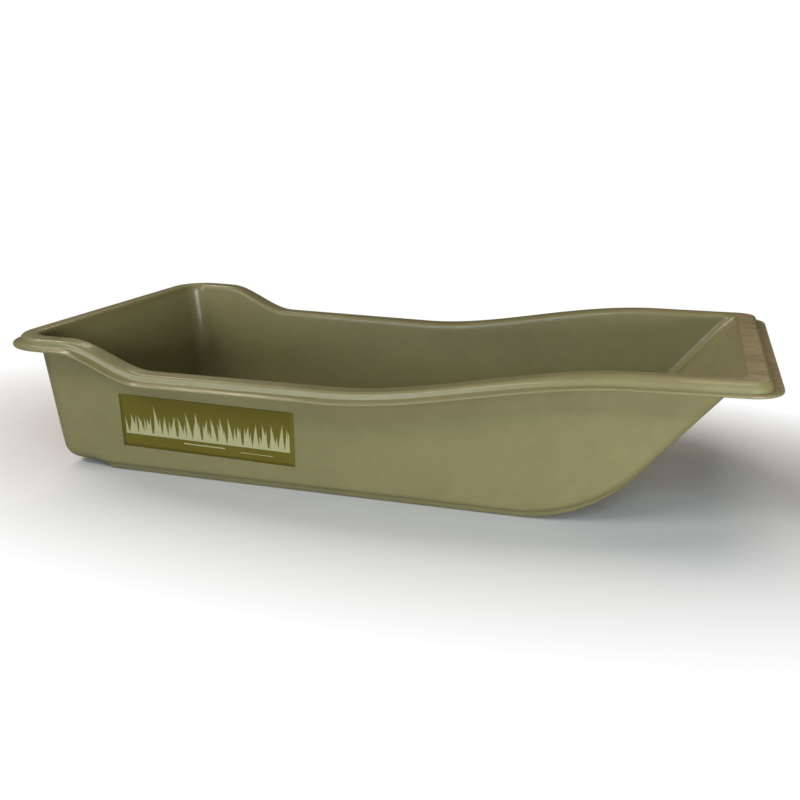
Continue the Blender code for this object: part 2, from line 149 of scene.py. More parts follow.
class SledSizes(bpy.types.PropertyGroup):
    """Sizes of the moulded tub. They match the CAD part."""

    length: metres("Length", 1.372, "From the stern's lip to the bow's")
    sheet: metres("Sheet", 0.004, "Thickness of the plastic")
    stern_height: metres("Stern height", 0.266, "Ground to the rim's flat top at the stern")
    waist_height: metres("Waist height", 0.2145, "Ground to the rim's flat top at the waist")
    bow_height: metres("Bow height", 0.2845, "Ground to the rim's flat top at the bow")
    bow_creep: metres("Bow creep", 0.0115, "Part of the bow's height gained slowly")
    dip_start: metres("Dip start", 0.146, "From the stern, where the rim starts down")
    dip_end: metres("Dip end", 0.310, "From the stern, where the rim reaches the waist")
    rise_start: metres("Rise start", 0.700, "From the bow, where the rim starts up")
    rise_end: metres("Rise end", 0.210, "From the bow, where the rim stops rising fast")
    stern_half_width: metres("Stern half width", 0.2765, "Inside, at the floor")
    bow_half_width: metres("Bow half width", 0.2194, "Inside, at the floor")
    side_camber: metres("Side camber", 0.0035, "Outward bow of the sides in plan")
    side_draft: share("Side draft", 0.037, "Outward lean of the side walls")
    transom_draft: share("Transom draft", 0.102, "Outward lean of the transom")
    side_fillet: metres("Side fillet", 0.009, "Radius between floor and side wall")
    bow_fillet: metres("Bow fillet", 0.0175, "The same radius at the top of the bow's ramp")
    stern_fillet: metres("Stern fillet", 0.026, "The same radius beside the transom")
    stern_fillet_start: metres("Stern fillet start", 0.181, "From the stern")
    stern_fillet_end: metres("Stern fillet end", 0.150, "From the stern")
    transom_fillet: metres("Transom fillet", 0.027, "Radius between floor and transom")
    stern_corner: metres("Stern corner", 0.034, "Plan radius between side wall and transom")
    least_foot: metres("Least foot", 0.003, "Plan radius left at that corner's foot")
    bow_curve: metres("Bow curve", 0.2725, "Radius of the bottom where it turns up")
    rake: angle("Rake", 50.6, "Angle of the bow's ramp")
    rim_fillet: metres("Rim fillet", 0.0105, "Radius between wall and rim")
    rim_inset: metres("Rim inset", 0.0485, "From the lip to where the flat top ends inside")
    transom_inset: metres("Transom inset", 0.0425, "The same over the transom")
    lip: metres("Lip", 0.0135, "Width of the lip beyond the bead")
    foot: metres("Foot", 0.0026, "Width of the fillet between bead and lip")
    foot_rise: metres("Foot rise", 0.0025, "Height of that fillet")
    shoulder: metres("Shoulder", 0.0090, "Width of the bead's rounding")
    bow_shoulder: metres("Bow shoulder", 0.0200, "The same on the sides near the bow")
    stern_bead: metres("Stern bead", 0.0120, "Depth of the bead at the stern")
    bow_bead: metres("Bow bead", 0.0170, "Depth of the bead at the bow")
    stern_lip_drop: metres("Stern lip drop", 0.0025, "Fall of the lip outwards")
    bow_lip_rise: metres("Bow lip rise", 0.0020, "Rise of the lip outwards at the bow")
    bead_start: metres("Bead change start", 0.476, "From the bow")
    bead_end: metres("Bead change end", 0.206, "From the bow")
    stern_lip_radius: metres("Stern lip radius", 0.100, "Plan radius of the lip's corner")
    stern_bead_radius: metres("Stern bead radius", 0.080, "Plan radius of the bead's corner")
    bow_lip_radius: metres("Bow lip radius", 0.055, "Plan radius of the lip's corner")
    bow_bead_radius: metres("Bow bead radius", 0.034, "Plan radius of the bead's corner")
    runner_depth: metres("Runner depth", 0.012, "Of the channel in the floor")
    runner_width: metres("Runner width", 0.046, "Of the flat face that slides")
    outer_flank: metres("Outer flank", 0.0026, "Width of the runner's steep outer side")
    runner_edge: metres("Runner edge", 0.0016, "Width of the rounding below it")
    runner_edge_share: share("Runner edge share", 0.88, "Depth at the top of that rounding")
    inner_flank: metres("Inner flank", 0.010, "Width of the runner's sloping inner side")
    runner_start: metres("Runner start", 0.1625, "From the stern")
    runner_ramp: metres("Runner ramp", 0.0123, "Length of the runner's stern end")
    runner_end: metres("Runner end", 0.151, "From the bow")
    runner_fade: metres("Runner fade", 0.175, "Length over which it runs out up the bow")


class LabelSizes(bpy.types.PropertyGroup):
    """Size and place of the adhesive label."""

    length: metres("Length", 0.353, "Along the sled")
    height: metres("Height", 0.104, "Up the wall")
    film: metres("Film", 0.0003, "Thickness of the film")
    gap: metres("Gap", 0.0003, "Off the wall, so that the two never touch")
    from_stern: metres("From stern", 0.229, "Stern's lip to the label's top corner")
    top: metres("Top", 0.163, "Ground to the label's top corner")
    tilt: angle("Tilt", 0.9, "Fall of the label's edge towards the bow")
    corner: metres("Corner", 0.0015, "Radius of the cut corners")
    blades: IntProperty(
        name="Blades", description="Printed blades of grass in one row", default=21, min=3
    )


class SledFinish(bpy.types.PropertyGroup):
    """Colours and surface of the plastic and the label."""

    plastic: colour("Plastic", (0.250, 0.226, 0.100), "Olive tan of the sheet")
    plastic_roughness: share("Plastic roughness", 0.46, "Satin of the sheet")
    # Colour of the painted pink sheen on the rim's upward-facing land and its streaks; the next
    # setting is where that painted sheen starts along the sled
    sheen_and_streak_pink: colour("Sheen and streak pink", (0.46, 0.36, 0.22), "Paler, pinker tint where the sheet is drawn most")
    sheen_and_streaks_start: metres("Draw marks start", 0.626, "Place along the sled where they begin")
    film: colour("Film", (0.142, 0.118, 0.015), "Dark olive of the label")
    ink: colour("Ink", (0.46, 0.46, 0.25), "Pale print on the label")
    rub: colour("Rub", (0.36, 0.34, 0.22), "Paler tint where the sheet is rubbed")
    drift: share("Colour drift", 0.06, "How much the colour wanders over the sheet")
    mottle: share("Mottle", 0.05, "The same over a few centimetres")
    peel: metres("Orange peel", 0.00032, "Depth of the fine ripple")


class StudioSettings(bpy.types.PropertyGroup):
    """Camera, lamps and floor."""

    camera_place: FloatVectorProperty(
        name="Camera", description="Where the camera stands", default=(0.5355, -1.5729, 0.6375),
        size=3, subtype="TRANSLATION", unit="LENGTH",
    )
    yaw: FloatProperty(
        name="Yaw", description="Turn from +Y towards +X", default=-0.3249, unit="ROTATION"
    )
    pitch: FloatProperty(name="Pitch", description="Tilt down", default=0.3060, unit="ROTATION")
    lens: FloatProperty(
        name="Lens", description="Focal length", default=38.776, min=1.0, unit="CAMERA"
    )
    floor_size: metres("Floor", 14.0, "Width of the floor")
    world_level: FloatProperty(name="World", description="Light from all round", default=0.055)
    key_level: watts("Key softbox", 52.0)
    card_level: watts("Low front card", 41.0)
    strip_level: watts("Overhead strip", 26.0)
    bow_level: watts("Bow softbox", 0.3)
    top_level: watts("Bow top", 2.0)
    back_level: watts("Back card", 18.0)
    spot_level: watts("Cool spot", 1.5)
    sheen_level: watts("Sheen card", 16.0)


def lerp(a, b, t):
    return a + (b - a) * t


def clamp(t):
    return min(max(t, 0.0), 1.0)


def smooth_step(t):
    t = clamp(t)
    return t * t * (3 - 2 * t)


class Tub:
    """The surfaces of the moulding, worked out from its sizes, on the +Y half."""

    def __init__(self, sizes):
        s = self.s = sizes
        self.stern, self.bow = -s.length / 2, s.length / 2
        self.floor = s.runner_depth + s.sheet
        self.rim_width = s.rim_inset + s.rim_fillet
        self.floor_end = self.bow - s.runner_end
        self.ramp_top = self.bow - s.rim_inset - s.rim_fillet * tan(s.rake / 2)
        self.foot_z = self.floor + s.bow_curve * (1 - cos(s.rake))
        rise = self.rim_height(self.ramp_top) - self.foot_z
        self.foot_x = self.ramp_top - rise / tan(s.rake)
        self.curve_x = self.foot_x - s.bow_curve * sin(s.rake)
        self.top_level = FILLET_STEPS + WALL_STEPS
        self.lines = self.runner_lines()
        self.half_lines = len(self.lines) - 1 + MIDDLE_STEPS
        self.side_edges = 2 + DIP_STEPS + WAIST_STEPS + CURVE_STEPS + 2 * CORNER_STEPS
        self.end_edges = 2 * self.half_lines
        self.stations = self.stations_along()
        self.places = self.perimeter()

    def rim_height(self, x):
        """Height of the rim's flat top: high stern, low waist, high bow."""
        s = self.s
        dip = smooth_step((x - self.stern - s.dip_start) / (s.dip_end - s.dip_start))
        rise = smooth_step((x - self.bow + s.rise_start) / (s.rise_start - s.rise_end))
        creep = clamp((x - self.bow + s.rise_start) / s.rise_start)
        bow_rise = s.bow_height - s.waist_height - s.bow_creep
        return lerp(s.stern_height, s.waist_height, dip) + bow_rise * rise + s.bow_creep * creep

    def wall(self, x, z):
        """Half the inside width at x, on the drafted side wall at height z."""
        s = self.s
        t = (x - self.stern) / s.length
        foot = lerp(s.stern_half_width, s.bow_half_width, t) + 4 * s.side_camber * t * (1 - t)
        return foot + s.side_draft * (z - self.floor)

    def wall_top(self, x):
        return self.rim_height(x) - self.s.rim_fillet

    def lip_half_width(self, x):
        return self.wall(x, self.wall_top(x)) + self.rim_width

    def transom(self, z):
        """X of the inside of the transom at height z."""
        s = self.s
        top = self.wall_top(self.stern)
        return self.stern + s.transom_inset + s.rim_fillet + s.transom_draft * (top - z)

    def floor_slope(self, x):
        """Angle of the bottom at x: flat floor, bow curve, straight ramp."""
        if x <= self.curve_x:
            return 0.0
        if x >= self.foot_x:
            return self.s.rake
        return asin((x - self.curve_x) / self.s.bow_curve)

    def floor_height(self, x):
        if x >= self.foot_x:
            return self.foot_z + (x - self.foot_x) * tan(self.s.rake)
        return self.floor + self.s.bow_curve * (1 - cos(self.floor_slope(x)))

    def side_fillet(self, x):
        """Radius between side wall and bottom, wider up the ramp and beside the transom."""
        s = self.s
        up = smooth_step((x - self.curve_x) / (self.ramp_top - self.curve_x))
        run = s.stern_fillet_start - s.stern_fillet_end
        aft = smooth_step((self.stern + s.stern_fillet_start - x) / run)
        return lerp(lerp(s.side_fillet, s.bow_fillet, up), self.stern_fillet(0.0), aft)

    def stern_fillet(self, turn):
        s = self.s
        radius = lerp(s.stern_fillet, s.transom_fillet, smooth_step(turn))
        return min(radius, s.stern_corner - s.least_foot)

    def fillet_rise(self, x):
        return self.side_fillet(x) / cos(self.floor_slope(x))

    def fillet_point(self, x, bend):
        """(half width, height) on the side fillet: bend 0 meets the wall, 90 degrees the floor."""
        radius, rise = self.side_fillet(x), self.fillet_rise(x)
        top = self.floor_height(x) + rise
        return self.wall(x, top) - radius + radius * cos(bend), top - rise * sin(bend)

    def runner_depth(self, x):
        s = self.s
        start = clamp((x - self.stern - s.runner_start) / s.runner_ramp)
        fade = clamp((self.bow - s.runner_end - x) / s.runner_fade)
        return s.runner_depth * start * fade

    def runner_lines(self):
        """(inset from the wall, share of the runner's depth) of the lines along the floor."""
        s = self.s
        spans = [(s.outer_flank, s.runner_edge_share), (s.runner_edge, 1.0)]
        spans += [(s.runner_width / RUNNER_STEPS, 1.0)] * RUNNER_STEPS
        spans += [(s.inner_flank, 0.0)]
        lines = [(s.side_fillet, 0.0)]
        for width, depth in spans:
            lines.append((lines[-1][0] + width, depth))
        return lines

    def stations_along(self):
        """X of the lines across the floor, closer where the rim dips and the bow curves."""
        s = self.s
        ramp = self.stern + s.runner_start
        lines = [self.transom(self.floor) + s.stern_corner, ramp, ramp + s.runner_ramp]
        ends = (self.stern + s.dip_end, self.curve_x, self.bow_corner(0)[0])
        for end, steps in zip(ends, (DIP_STEPS, WAIST_STEPS, CURVE_STEPS)):
            start = lines[-1]
            lines += [lerp(start, end, k / steps) for k in range(1, steps + 1)]
        return lines

    def level_share(self, level):
        return max(level - FILLET_STEPS, 0) / WALL_STEPS

    def level_bend(self, level):
        return pi / 2 * (1 - min(level, FILLET_STEPS) / FILLET_STEPS)

    def ramp_meeting(self):
        """X where the top of the side wall meets the fillet of the ramp."""
        s = self.s
        rise = s.bow_fillet / cos(s.rake)
        return self.foot_x + (self.wall_top(self.ramp_top) - rise - self.foot_z) / tan(s.rake)

    def bow_corner(self, level):
        """(x where a ring leaves the side wall, x where it crosses the bow, inset there)."""
        s = self.s
        flat = self.level_bend(level) / (pi / 2)
        leave = lerp(self.floor_end, self.ramp_meeting(), self.level_share(level))
        reach = self.side_fillet(leave) / sin(s.rake)
        cross = lerp(leave + reach, self.floor_end, flat * flat)
        inset = flat * s.runner_width / 2
        return leave - inset, cross, inset

    def side_point(self, x, level):
        """(half width, height) of a ring at x on the side."""
        if level <= FILLET_STEPS:
            return self.fillet_point(x, self.level_bend(level))
        part = self.level_share(level)
        foot = self.floor_height(x) + self.fillet_rise(x)
        if x <= self.floor_end:
            height = lerp(foot, self.wall_top(x), part)
        else:
            end = self.floor_end
            rise = self.wall_top(end) - self.floor_height(end) - self.fillet_rise(end)
            leave = self.bow_corner(level)[0]
            height = foot + part * rise * clamp((leave - x) / (leave - end))
        return self.wall(x, height), height

    def stern_point(self, turn, level):
        """Point of a ring round the stern corner: turn 0 at the side, 1 at the transom."""
        s = self.s
        psi, bend = turn * pi / 2, self.level_bend(level)
        fillet = self.stern_fillet(turn)
        foot = self.floor + fillet * (1 - sin(bend))
        height = lerp(foot, self.wall_top(self.stern), self.level_share(level))
        centre_x = self.transom(height) + s.stern_corner
        centre_y = self.wall(centre_x, height) - s.stern_corner
        reach = s.stern_corner - fillet * (1 - cos(bend))
        return centre_x - reach * sin(psi), centre_y + reach * cos(psi), height

    def bow_point(self, turn, level):
        """Point of a ring round the bow corner: turn 0 at the side, 1 on the ramp.

        A low ring first climbs down the fillet to the ramp, then runs in along it."""
        leave, cross, inset = self.bow_corner(level)
        bend = self.level_bend(level)
        flat = bend / (pi / 2)
        down = clamp(turn / (1 - flat / 2))
        inwards = clamp((turn - 1 + flat / 2) / (flat / 2)) if flat > 0 else 0.0
        along = lerp(sin(turn * pi / 2), clamp(2 * turn), flat)
        x = lerp(leave, cross, along)
        half, height = self.fillet_point(x, lerp(bend, pi / 2, down))
        return x, half - inset * inwards, height

    def tub_ring(self, level, place):
        """Point of a ring inside the tub at a place of the perimeter."""
        kind, part = place
        if level == self.top_level:
            return self.rim_ring(-1, place)
        if kind == "side":
            first, last = self.stern_point(0, level)[0], self.bow_corner(level)[0]
            start, end = self.stations[0], self.stations[-1]
            x = part if level == 0 else lerp(first, last, (part - start) / (end - start))
            half, height = self.side_point(x, level)
            return x, half, height
        if kind == "stern corner":
            return self.stern_point(part, level)
        if kind == "bow corner":
            return self.bow_point(part, level)
        corner = self.stern_point(1, level) if kind == "stern" else self.bow_point(1, level)
        return corner[0], corner[1] * part, corner[2]

    def rim_section(self, x, side):
        """(inset from the lip's edge, drop below the flat top) from the land outwards.

        side is 1 on the sled's sides and 0 across its ends."""
        s = self.s
        bow = smooth_step((x - self.bow + s.bead_start) / (s.bead_start - s.bead_end))
        depth = lerp(s.stern_bead, s.bow_bead, bow)
        width = lerp(s.shoulder, s.bow_shoulder, bow * side)
        rise = lerp(s.stern_lip_drop, -s.bow_lip_rise, bow)
        skirt = s.lip + s.foot
        land = s.rim_inset - skirt - width
        section = [(skirt + width + land * (1 - k / LAND_STEPS), 0.0) for k in range(1, LAND_STEPS)]
        for step in range(SHOULDER_STEPS + 1):
            bend = pi / 2 * step / SHOULDER_STEPS
            drop = (depth - s.foot_rise) * (1 - cos(bend))
            section.append((skirt + width * (1 - sin(bend)), drop))
        section.append((s.lip + TOE_WIDTH, depth - TOE_RISE))
        for step in range(LIP_STEPS):
            out = step / LIP_STEPS
            section.append((s.lip * (1 - out), depth + rise * out))
        section.append((LIP_EDGE, depth + rise))
        section.append((0.0, depth + rise))
        return section

    def rim_levels(self):
        return RIM_FILLET_STEPS + len(self.rim_section(0.0, 1.0))

    def rim_offset(self, x, side, level, turned):
        """(inset, drop) of a rim ring. turned is the angle that the fillet turns through.

        Level -1 is where the fillet leaves the wall."""
        s = self.s
        if level < RIM_FILLET_STEPS:
            bend = turned * (1 - (level + 1) / RIM_FILLET_STEPS)
            return s.rim_inset + s.rim_fillet * sin(bend), s.rim_fillet * (1 - cos(bend))
        return self.rim_section(x, side)[level - RIM_FILLET_STEPS]

    def end_inset(self, inset):
        """Inset over the transom of what lies at a given inset on the side."""
        s = self.s
        land = s.rim_inset - s.lip - s.foot - s.shoulder
        beyond = clamp((inset - s.rim_inset + land) / land)
        return inset - (s.rim_inset - s.transom_inset) * beyond

    def rim_corner(self, inset, bow):
        """(centre x, centre half width, reach, radius, first angle) of a corner's arc.

        The reach along the sled grows inwards at the bow, where the ramp cuts the fillet."""
        s = self.s
        lip, bead, wall = s.stern_lip_radius, s.stern_bead_radius, s.stern_corner
        if bow:
            lip, bead, wall = s.bow_lip_radius, s.bow_bead_radius, s.bow_fillet
        inwards = clamp((inset - s.lip) / (self.rim_width - s.lip))
        radius = lerp(bead, wall, inwards) if inset > s.lip else lerp(lip, bead, inset / s.lip)
        stretch = lerp(1.0, 1 / sin(s.rake), inwards) if bow else 1.0
        reach = radius * stretch
        forward = 1 if bow else -1
        centre_x = self.bow - inset - reach if bow else self.stern + self.end_inset(inset) + reach
        step = 0.01
        narrowing = self.lip_half_width(centre_x - step) - self.lip_half_width(centre_x + step)
        skew = forward * atan(stretch * narrowing / (2 * step))
        edge = self.lip_half_width(centre_x + forward * reach * sin(skew)) - inset
        return centre_x, edge - radius * cos(skew), reach, radius, skew

    def rim_ring(self, level, place):
        """Point of a ring on the rim at a place of the perimeter."""
        s = self.s
        kind, part = place
        side_turn = pi / 2 - atan(s.side_draft)
        if kind == "side":
            at_stern = self.rim_offset(self.stern, 1.0, level, side_turn)[0]
            at_bow = self.rim_offset(self.bow, 1.0, level, side_turn)[0]
            stern_x, bow_x = self.rim_corner(at_stern, False)[0], self.rim_corner(at_bow, True)[0]
            start, end = self.stations[0], self.stations[-1]
            x = lerp(stern_x, bow_x, (part - start) / (end - start))
            inset, drop = self.rim_offset(x, 1.0, level, side_turn)
            return x, self.lip_half_width(x) - inset, self.rim_height(x) - drop
        bow = kind in ("bow corner", "bow")
        turn = part if kind.endswith("corner") else 1.0
        end_turn = s.rake if bow else pi / 2 - atan(s.transom_draft)
        end = self.bow if bow else self.stern
        inset, drop = self.rim_offset(end, 1 - turn, level, lerp(side_turn, end_turn, turn))
        centre_x, centre_y, reach, radius, skew = self.rim_corner(inset, bow)
        psi = lerp(skew, pi / 2, turn)
        x = centre_x + (1 if bow else -1) * reach * sin(psi)
        half = centre_y + radius * cos(psi)
        if not kind.endswith("corner"):
            half *= part
        return x, half, self.rim_height(x) - drop

    def line_shares(self):
        """Half width share of each line along the floor, from the side to the middle."""
        half = self.fillet_point(0.0, pi / 2)[0] + self.s.side_fillet
        shares = [(half - inset) / half for inset, _ in self.lines]
        last = shares[-1]
        return shares + [last * (1 - k / MIDDLE_STEPS) for k in range(1, MIDDLE_STEPS + 1)]

    def perimeter(self):
        """Place on the perimeter of each edge vertex of the grid, by its (column, row)."""
        found = {}
        last, shares = self.side_edges, self.line_shares()
        for column in range(CORNER_STEPS, last - CORNER_STEPS + 1):
            found[column, 0] = ("side", self.stations[column - CORNER_STEPS])
        for step in range(1, 2 * CORNER_STEPS + 1):
            turn = step / (2 * CORNER_STEPS)
            inwards, along = max(CORNER_STEPS - step, 0), max(step - CORNER_STEPS, 0)
            found[inwards, along] = ("stern corner", turn)
            found[last - inwards, along] = ("bow corner", turn)
        for row in range(CORNER_STEPS + 1, self.half_lines + 1):
            part = shares[row] / shares[CORNER_STEPS]
            found[0, row] = ("stern", part)
            found[last, row] = ("bow", part)
        return found

    def floor_line(self, column, row):
        """(x, half width) where a line along the floor crosses a line across it."""
        if (column, row) in self.places:
            return self.tub_ring(0, self.places[column, row])[:2]
        x, half, _ = self.tub_ring(0, self.places[column, 0])
        last_line = len(self.lines) - 1
        inset = self.lines[min(row, last_line)][0]
        part = 1 - max(row - last_line, 0) / MIDDLE_STEPS
        return x, (half - (inset - self.s.side_fillet)) * part

    def floor_point(self, column, row):
        """Inner grid vertex of the floor."""
        near = min(column, self.side_edges - column)
        if near < CORNER_STEPS:
            bow = column > CORNER_STEPS
            end = self.side_edges if bow else 0
            along = self.side_edges - CORNER_STEPS if bow else CORNER_STEPS
            outer, inner = self.floor_line(end, row), self.floor_line(along, row)
            t = near / CORNER_STEPS
            x, half = lerp(outer[0], inner[0], t), lerp(outer[1], inner[1], t)
        else:
            x, half = self.floor_line(column, row)
        depth_share = self.lines[row][1] if row < len(self.lines) else 0.0
        depth = self.runner_depth(x) * depth_share
        slope = self.floor_slope(x)
        return x + depth * sin(slope), half, self.floor_height(x) - depth * cos(slope)

    def sheet(self):
        """The upper skin of the whole tub: a floor grid, its edge extruded ring by ring."""
        bm = bmesh.new()
        bmesh.ops.create_grid(
            bm, x_segments=self.side_edges, y_segments=self.end_edges, size=0.5
        )
        column_tag = bm.verts.layers.int.new("column")
        row_tag = bm.verts.layers.int.new("row")
        for vert in bm.verts:
            vert[column_tag] = round((vert.co.x + 0.5) * self.side_edges)
            vert[row_tag] = round((vert.co.y + 0.5) * self.end_edges)

        def put(vert, rule, level=0):
            column, row = vert[column_tag], vert[row_tag]
            near = min(row, self.end_edges - row)
            place = self.places.get((column, near))
            point = rule(level, place) if place else self.floor_point(column, near)
            vert.co = (point[0], point[1] if row > self.half_lines else -point[1], point[2])

        for vert in bm.verts:
            put(vert, self.tub_ring)
        edges = [edge for edge in bm.edges if edge.is_boundary]
        rings = [(self.tub_ring, level) for level in range(1, self.top_level + 1)]
        rings += [(self.rim_ring, level) for level in range(self.rim_levels())]
        for rule, level in rings:
            grown = bmesh.ops.extrude_edge_only(bm, edges=edges)["geom"]
            for vert in grown:
                if isinstance(vert, bmesh.types.BMVert):
                    put(vert, rule, level)
            edges = [edge for edge in grown if isinstance(edge, bmesh.types.BMEdge)]
        bmesh.ops.recalc_face_normals(bm, faces=bm.faces)
        if max(bm.faces, key=lambda face: face.calc_area()).normal.z < 0:
            bmesh.ops.reverse_faces(bm, faces=bm.faces)
        set_order(bm)
        return bm


def set_order(bm):
    """Sorts edges and faces by their vertices, because an extrusion's order changes by run."""
    bm.verts.index_update()
    count = len(bm.verts)

    def rank(part):
        number = 0
        for index in sorted(vert.index for vert in part.verts)[:3]:
            number = number * count + index
        return number

    bm.edges.sort(key=rank)
    bm.faces.sort(key=rank)


def new_object(name, bm, material):
    """Links a finished mesh to the scene, where it was made."""
    mesh = bpy.data.meshes.new(name)
    bm.to_mesh(mesh)
    bm.free()
    mesh.materials.append(material)
    made = bpy.data.objects.new(name, mesh)
    bpy.context.scene.collection.objects.link(made)
    return made


def new_piece(name, bm, material, node):
    """Links a finished mesh as a piece of the sled that stands for a CAD node."""
    piece = new_object(name, bm, material)
    piece.data.shade_smooth()
    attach(piece, "root")
    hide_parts(node)
    return piece


def add_node(tree, kind, inputs=None, **settings):
    """Adds a node, sets its fields, and fills its inputs with values or links."""
    node = tree.nodes.new(kind)
    for name, value in settings.items():
        setattr(node, name, value)
    for key, value in (inputs or {}).items():
        socket = node.inputs[key]
        if isinstance(value, bpy.types.NodeSocket):
            tree.links.new(value, socket)
        else:
            socket.default_value = value
    return node


def maths(tree, operation, *values, clamped=False):
    """A Math node's result. values are numbers or sockets."""
    node = add_node(tree, "ShaderNodeMath", dict(enumerate(values)), operation=operation)
    node.use_clamp = clamped
    return node.outputs[0]


def product(tree, first, *others):
    for value in others:
        first = maths(tree, "MULTIPLY", first, value)
    return first


def axes(tree, vector):
    return add_node(tree, "ShaderNodeSeparateXYZ", {"Vector": vector}).outputs


def stretched(tree, vector, scale, turn=(0.0, 0.0, 0.0)):
    inputs = {"Vector": vector, "Scale": scale, "Rotation": turn}
    return add_node(tree, "ShaderNodeMapping", inputs).outputs[0]


def remap(tree, value, low, high):
    """0 up to low and 1 from high on, straight between."""
    inputs = {"Value": value, "From Min": low, "From Max": high}
    return add_node(tree, "ShaderNodeMapRange", inputs).outputs[0]


def band(tree, value, low, high, soft):
    """1 where value lies between low and high, with edges soft wide."""
    rise = maths(tree, "DIVIDE", maths(tree, "SUBTRACT", value, low), soft, clamped=True)
    fall = maths(tree, "DIVIDE", maths(tree, "SUBTRACT", high, value), soft, clamped=True)
    return maths(tree, "MULTIPLY", rise, fall)


def mix(tree, factor, first, second):
    inputs = {0: factor, 6: first, 7: second}
    return add_node(tree, "ShaderNodeMix", inputs, data_type="RGBA").outputs[2]


def noise(tree, vector, size, detail=2.0, roughness=0.5):
    """Noise whose bumps are about size metres across, from 0 to 1."""
    scale = maths(tree, "DIVIDE", 1.0, size)
    inputs = {"Vector": vector, "Scale": scale, "Detail": detail, "Roughness": roughness}
    return add_node(tree, "ShaderNodeTexNoise", inputs).outputs["Fac"]


def socket_kind(label):
    kinds = {"Vector": "NodeSocketVector", "Facing": "NodeSocketVector", "Colour": "NodeSocketColor"}
    return kinds.get(label, "NodeSocketFloat")


def new_group(name, inputs, outputs):
    """An empty shader group over a Vector, with the nodes that give and take its sockets."""
    tree = bpy.data.node_groups.new(name, "ShaderNodeTree")
    for label, default in {"Vector": None, **inputs}.items():
        kind = socket_kind(label)
        socket = tree.interface.new_socket(label, in_out="INPUT", socket_type=kind)
        if default is not None:
            socket.default_value = default
    for label in outputs:
        tree.interface.new_socket(label, in_out="OUTPUT", socket_type=socket_kind(label))
    return tree, tree.nodes.new("NodeGroupInput").outputs, tree.nodes.new("NodeGroupOutput").inputs


def colour_drift_group():
    """A colour that wanders a little in brightness over the surface."""
    inputs = {"Colour": None, "Drift": 0.05, "Size": 0.1}
    tree, given, out = new_group("Colour drift", inputs, ["Colour"])
    broad = noise(tree, given["Vector"], given["Size"], detail=3.0)
    centred = maths(tree, "SUBTRACT", broad, 0.5)
    gain = maths(tree, "MULTIPLY_ADD", centred, maths(tree, "MULTIPLY", given["Drift"], 4.0), 1.0)
    tint = add_node(tree, "ShaderNodeHueSaturation", {"Value": gain, "Color": given["Colour"]})
    tree.links.new(tint.outputs["Color"], out["Colour"])
    return tree


def sheet_ripple_group():
    """Height, in metres, of a drawn sheet's orange peel, fine grain and slow waves."""
    inputs = {
        "Peel depth": 0.0003, "Peel size": 0.012, "Grain depth": 0.00001, "Wave depth": 0.0006,
        "Wave size": 0.05,
    }
    tree, given, out = new_group("Sheet ripple", inputs, ["Height"])
    peel = noise(tree, given["Vector"], given["Peel size"], detail=1.0)
    grain = noise(tree, given["Vector"], GRAIN_SIZE)
    waves = noise(tree, given["Vector"], given["Wave size"], detail=2.5, roughness=0.55)
    height = maths(tree, "MULTIPLY", peel, given["Peel depth"])
    height = maths(tree, "MULTIPLY_ADD", grain, given["Grain depth"], height)
    height = maths(tree, "MULTIPLY_ADD", waves, given["Wave depth"], height)
    tree.links.new(height, out["Height"])
    return tree


def handling_group():
    """Mask of faint rubs and hairline scratches, from 0 to 1."""
    inputs = {"Size": 0.035, "Amount": 0.35}
    tree, given, out = new_group("Handling marks", inputs, ["Mask"])
    long = stretched(tree, given["Vector"], RUB_STRETCH, RUB_TURN)
    fine = maths(tree, "MULTIPLY", given["Size"], RUB_FINENESS)
    broad = maths(tree, "MULTIPLY", given["Size"], PATCH_SPREAD)
    lines = remap(tree, noise(tree, long, fine, detail=4.0), *RUB_RANGE)
    where = remap(tree, noise(tree, given["Vector"], broad), *PATCH_RANGE)
    tree.links.new(product(tree, lines, where, given["Amount"]), out["Mask"])
    return tree


def land_sheen_and_streaks_group():
    """Painted pink sheen where the rim's flat top faces up, more towards the bow, and that top's
    streaks.
    """
    inputs = {"Facing": None, "Start": 0.62, "Size": 0.009, "Fade": 0.6, "Lowest": 0.2}
    tree, given, out = new_group("Draw marks", inputs, ["Area", "Streaks"])
    place = axes(tree, given["Vector"])
    # Only faces that point up get the painted sheen
    level = remap(tree, axes(tree, given["Facing"])["Z"], *LEVEL_RANGE)
    raised = maths(tree, "GREATER_THAN", place["Z"], given["Lowest"])
    beyond = maths(tree, "SUBTRACT", place["X"], given["Start"])
    near = maths(tree, "ADD", maths(tree, "DIVIDE", beyond, given["Fade"]), 1.0, clamped=True)
    tree.links.new(product(tree, level, raised, near), out["Area"])
    long = stretched(tree, given["Vector"], STREAK_STRETCH)
    lines = noise(tree, long, given["Size"], roughness=0.6)
    streaks = remap(tree, lines, *STREAK_RANGE)
    ahead = maths(tree, "MULTIPLY", beyond, STREAK_ONSET, clamped=True)
    tree.links.new(product(tree, streaks, level, ahead), out["Streaks"])
    return tree


